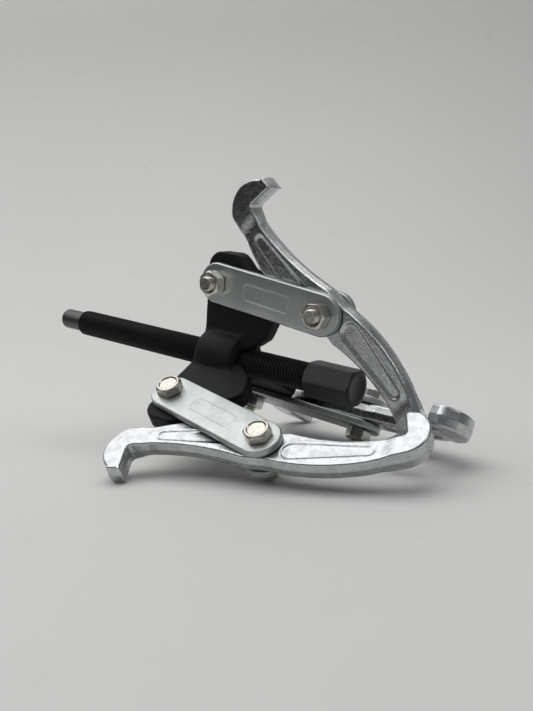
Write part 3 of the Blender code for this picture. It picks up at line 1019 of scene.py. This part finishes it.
# ---- Floor, light and camera ----
# A pale seamless sweep: the floor runs back from the tool and curves up into the wall behind it.
# One big soft light hangs overhead, and a small weak one on the camera's right picks out edges.
SWEEP_WAY = math.radians(38.1)
SWEEP_BACK = 0.45
SWEEP_R = 0.45
SWEEP_WIDE = 3.0
SWEEP_TALL = 2.2
SWEEP_FRONT = 2.6
PAPER = (0.72, 0.72, 0.705)
FLAG_AT = (-0.40, -0.44, 0.16)
FLAG_SIZE = (0.85, 0.42)
OVERHEAD_AT = (-0.45, -0.02, 1.25)
OVERHEAD_AIM = (-0.10, 0.05, 0.0)
OVERHEAD_SIZE = (2.3, 1.9)
OVERHEAD_WATTS = 22.5
EDGE_AT = (0.9, 0.3, 0.9)
EDGE_AIM = (0.0, 0.0, 0.05)
EDGE_SIZE = (0.35, 0.5)
EDGE_WATTS = 1.2
ROOM_GREY = (0.50, 0.51, 0.53)
ROOM_STRENGTH = 0.28
CAMERA_AT = (0.33658, -0.39366, 0.12201)
CAMERA_TURN = (82.642, 2.578, 37.812)
CAMERA_SENSOR = 36.0
CAMERA_LENS = 60.79


def sweep_mesh():
    profile = [(-SWEEP_FRONT, 0.0), (SWEEP_BACK, 0.0)]
    for k in range(1, 25):
        t = math.pi / 2 * k / 24
        profile.append((SWEEP_BACK + SWEEP_R * math.sin(t), SWEEP_R - SWEEP_R * math.cos(t)))
    profile.append((SWEEP_BACK + SWEEP_R, SWEEP_TALL))
    bm = bmesh.new()
    rows = []
    for forward, up in profile:
        rows.append([bm.verts.new((x, forward, up)) for x in (-SWEEP_WIDE, SWEEP_WIDE)])
    for low, high in zip(rows, rows[1:]):
        bm.faces.new((low[0], low[1], high[1], high[0]))
    mesh = bpy.data.meshes.new("sweep")
    bm.to_mesh(mesh)
    bm.free()
    smooth(mesh, 60.0)
    return mesh


def paper_finish():
    paper = Finish("paper", 0.0)
    cloud = paper.grain(320.0, 3.0)
    mark = paper.band(paper.grain(26.0, 8.0), 0.63, 0.72)
    base = paper.blend(cloud, PAPER, (0.69, 0.69, 0.675))
    return paper.paint(
        base_color=paper.blend(mark * 0.10, base, (0.5, 0.5, 0.49)),
        roughness=0.55 + cloud * 0.15,
        normal=paper.relief(paper.grain(1.6, 3.0), 0.02),
    )


sweep = bpy.data.objects.new("sweep", sweep_mesh())
sweep.data.materials.append(paper_finish())
sweep.rotation_euler.z = SWEEP_WAY
bpy.context.scene.collection.objects.link(sweep)


# A black flag, which only the plating sees, keeps the upright faces dark as an unlit room does.
flag_corners = [
    (x * FLAG_SIZE[0] / 2, 0.0, z * FLAG_SIZE[1] / 2)
    for x, z in ((-1, -1), (1, -1), (1, 1), (-1, 1))
]
flag_mesh = bpy.data.meshes.new("flag")
flag_mesh.from_pydata(flag_corners, [], [(0, 1, 2, 3)])
cloth = Finish("flag_cloth", 0.0)
weave = cloth.blend(cloth.grain(3.0), (0.02, 0.02, 0.02), (0.03, 0.03, 0.03))
flag_mesh.materials.append(cloth.paint(base_color=weave, roughness=0.9))
flag = bpy.data.objects.new("flag", flag_mesh)
flag.location = FLAG_AT
flag.rotation_euler.z = math.atan2(FLAG_AT[1], FLAG_AT[0]) - math.pi / 2
flag.visible_camera = flag.visible_diffuse = flag.visible_shadow = False
bpy.context.scene.collection.objects.link(flag)


def softbox(name, at, aim, size, watts):
    light = bpy.data.lights.new(name, "AREA")
    light.shape = "RECTANGLE"
    light.size, light.size_y = size
    light.energy = watts
    lamp = bpy.data.objects.new(name, light)
    lamp.location = at
    lamp.rotation_euler = (Vector(aim) - Vector(at)).to_track_quat("-Z", "Y").to_euler()
    bpy.context.scene.collection.objects.link(lamp)


softbox("overhead", OVERHEAD_AT, OVERHEAD_AIM, OVERHEAD_SIZE, OVERHEAD_WATTS)
softbox("edge", EDGE_AT, EDGE_AIM, EDGE_SIZE, EDGE_WATTS)

world = bpy.data.worlds.new("room")
world.use_nodes = True
glow = world.node_tree.nodes["Background"]
glow.inputs["Color"].default_value = (*ROOM_GREY, 1.0)
glow.inputs["Strength"].default_value = ROOM_STRENGTH
bpy.context.scene.world = world
bpy.context.scene.view_settings.view_transform = "Standard"

camera = bpy.data.objects.new("camera", bpy.data.cameras.new("camera"))
camera.location = CAMERA_AT
camera.rotation_euler = [math.radians(a) for a in CAMERA_TURN]
camera.data.sensor_fit = "HORIZONTAL"
camera.data.sensor_width = CAMERA_SENSOR
camera.data.lens = CAMERA_LENS
bpy.context.scene.collection.objects.link(camera)
bpy.context.scene.camera = camera

bpy.context.view_layer.update()
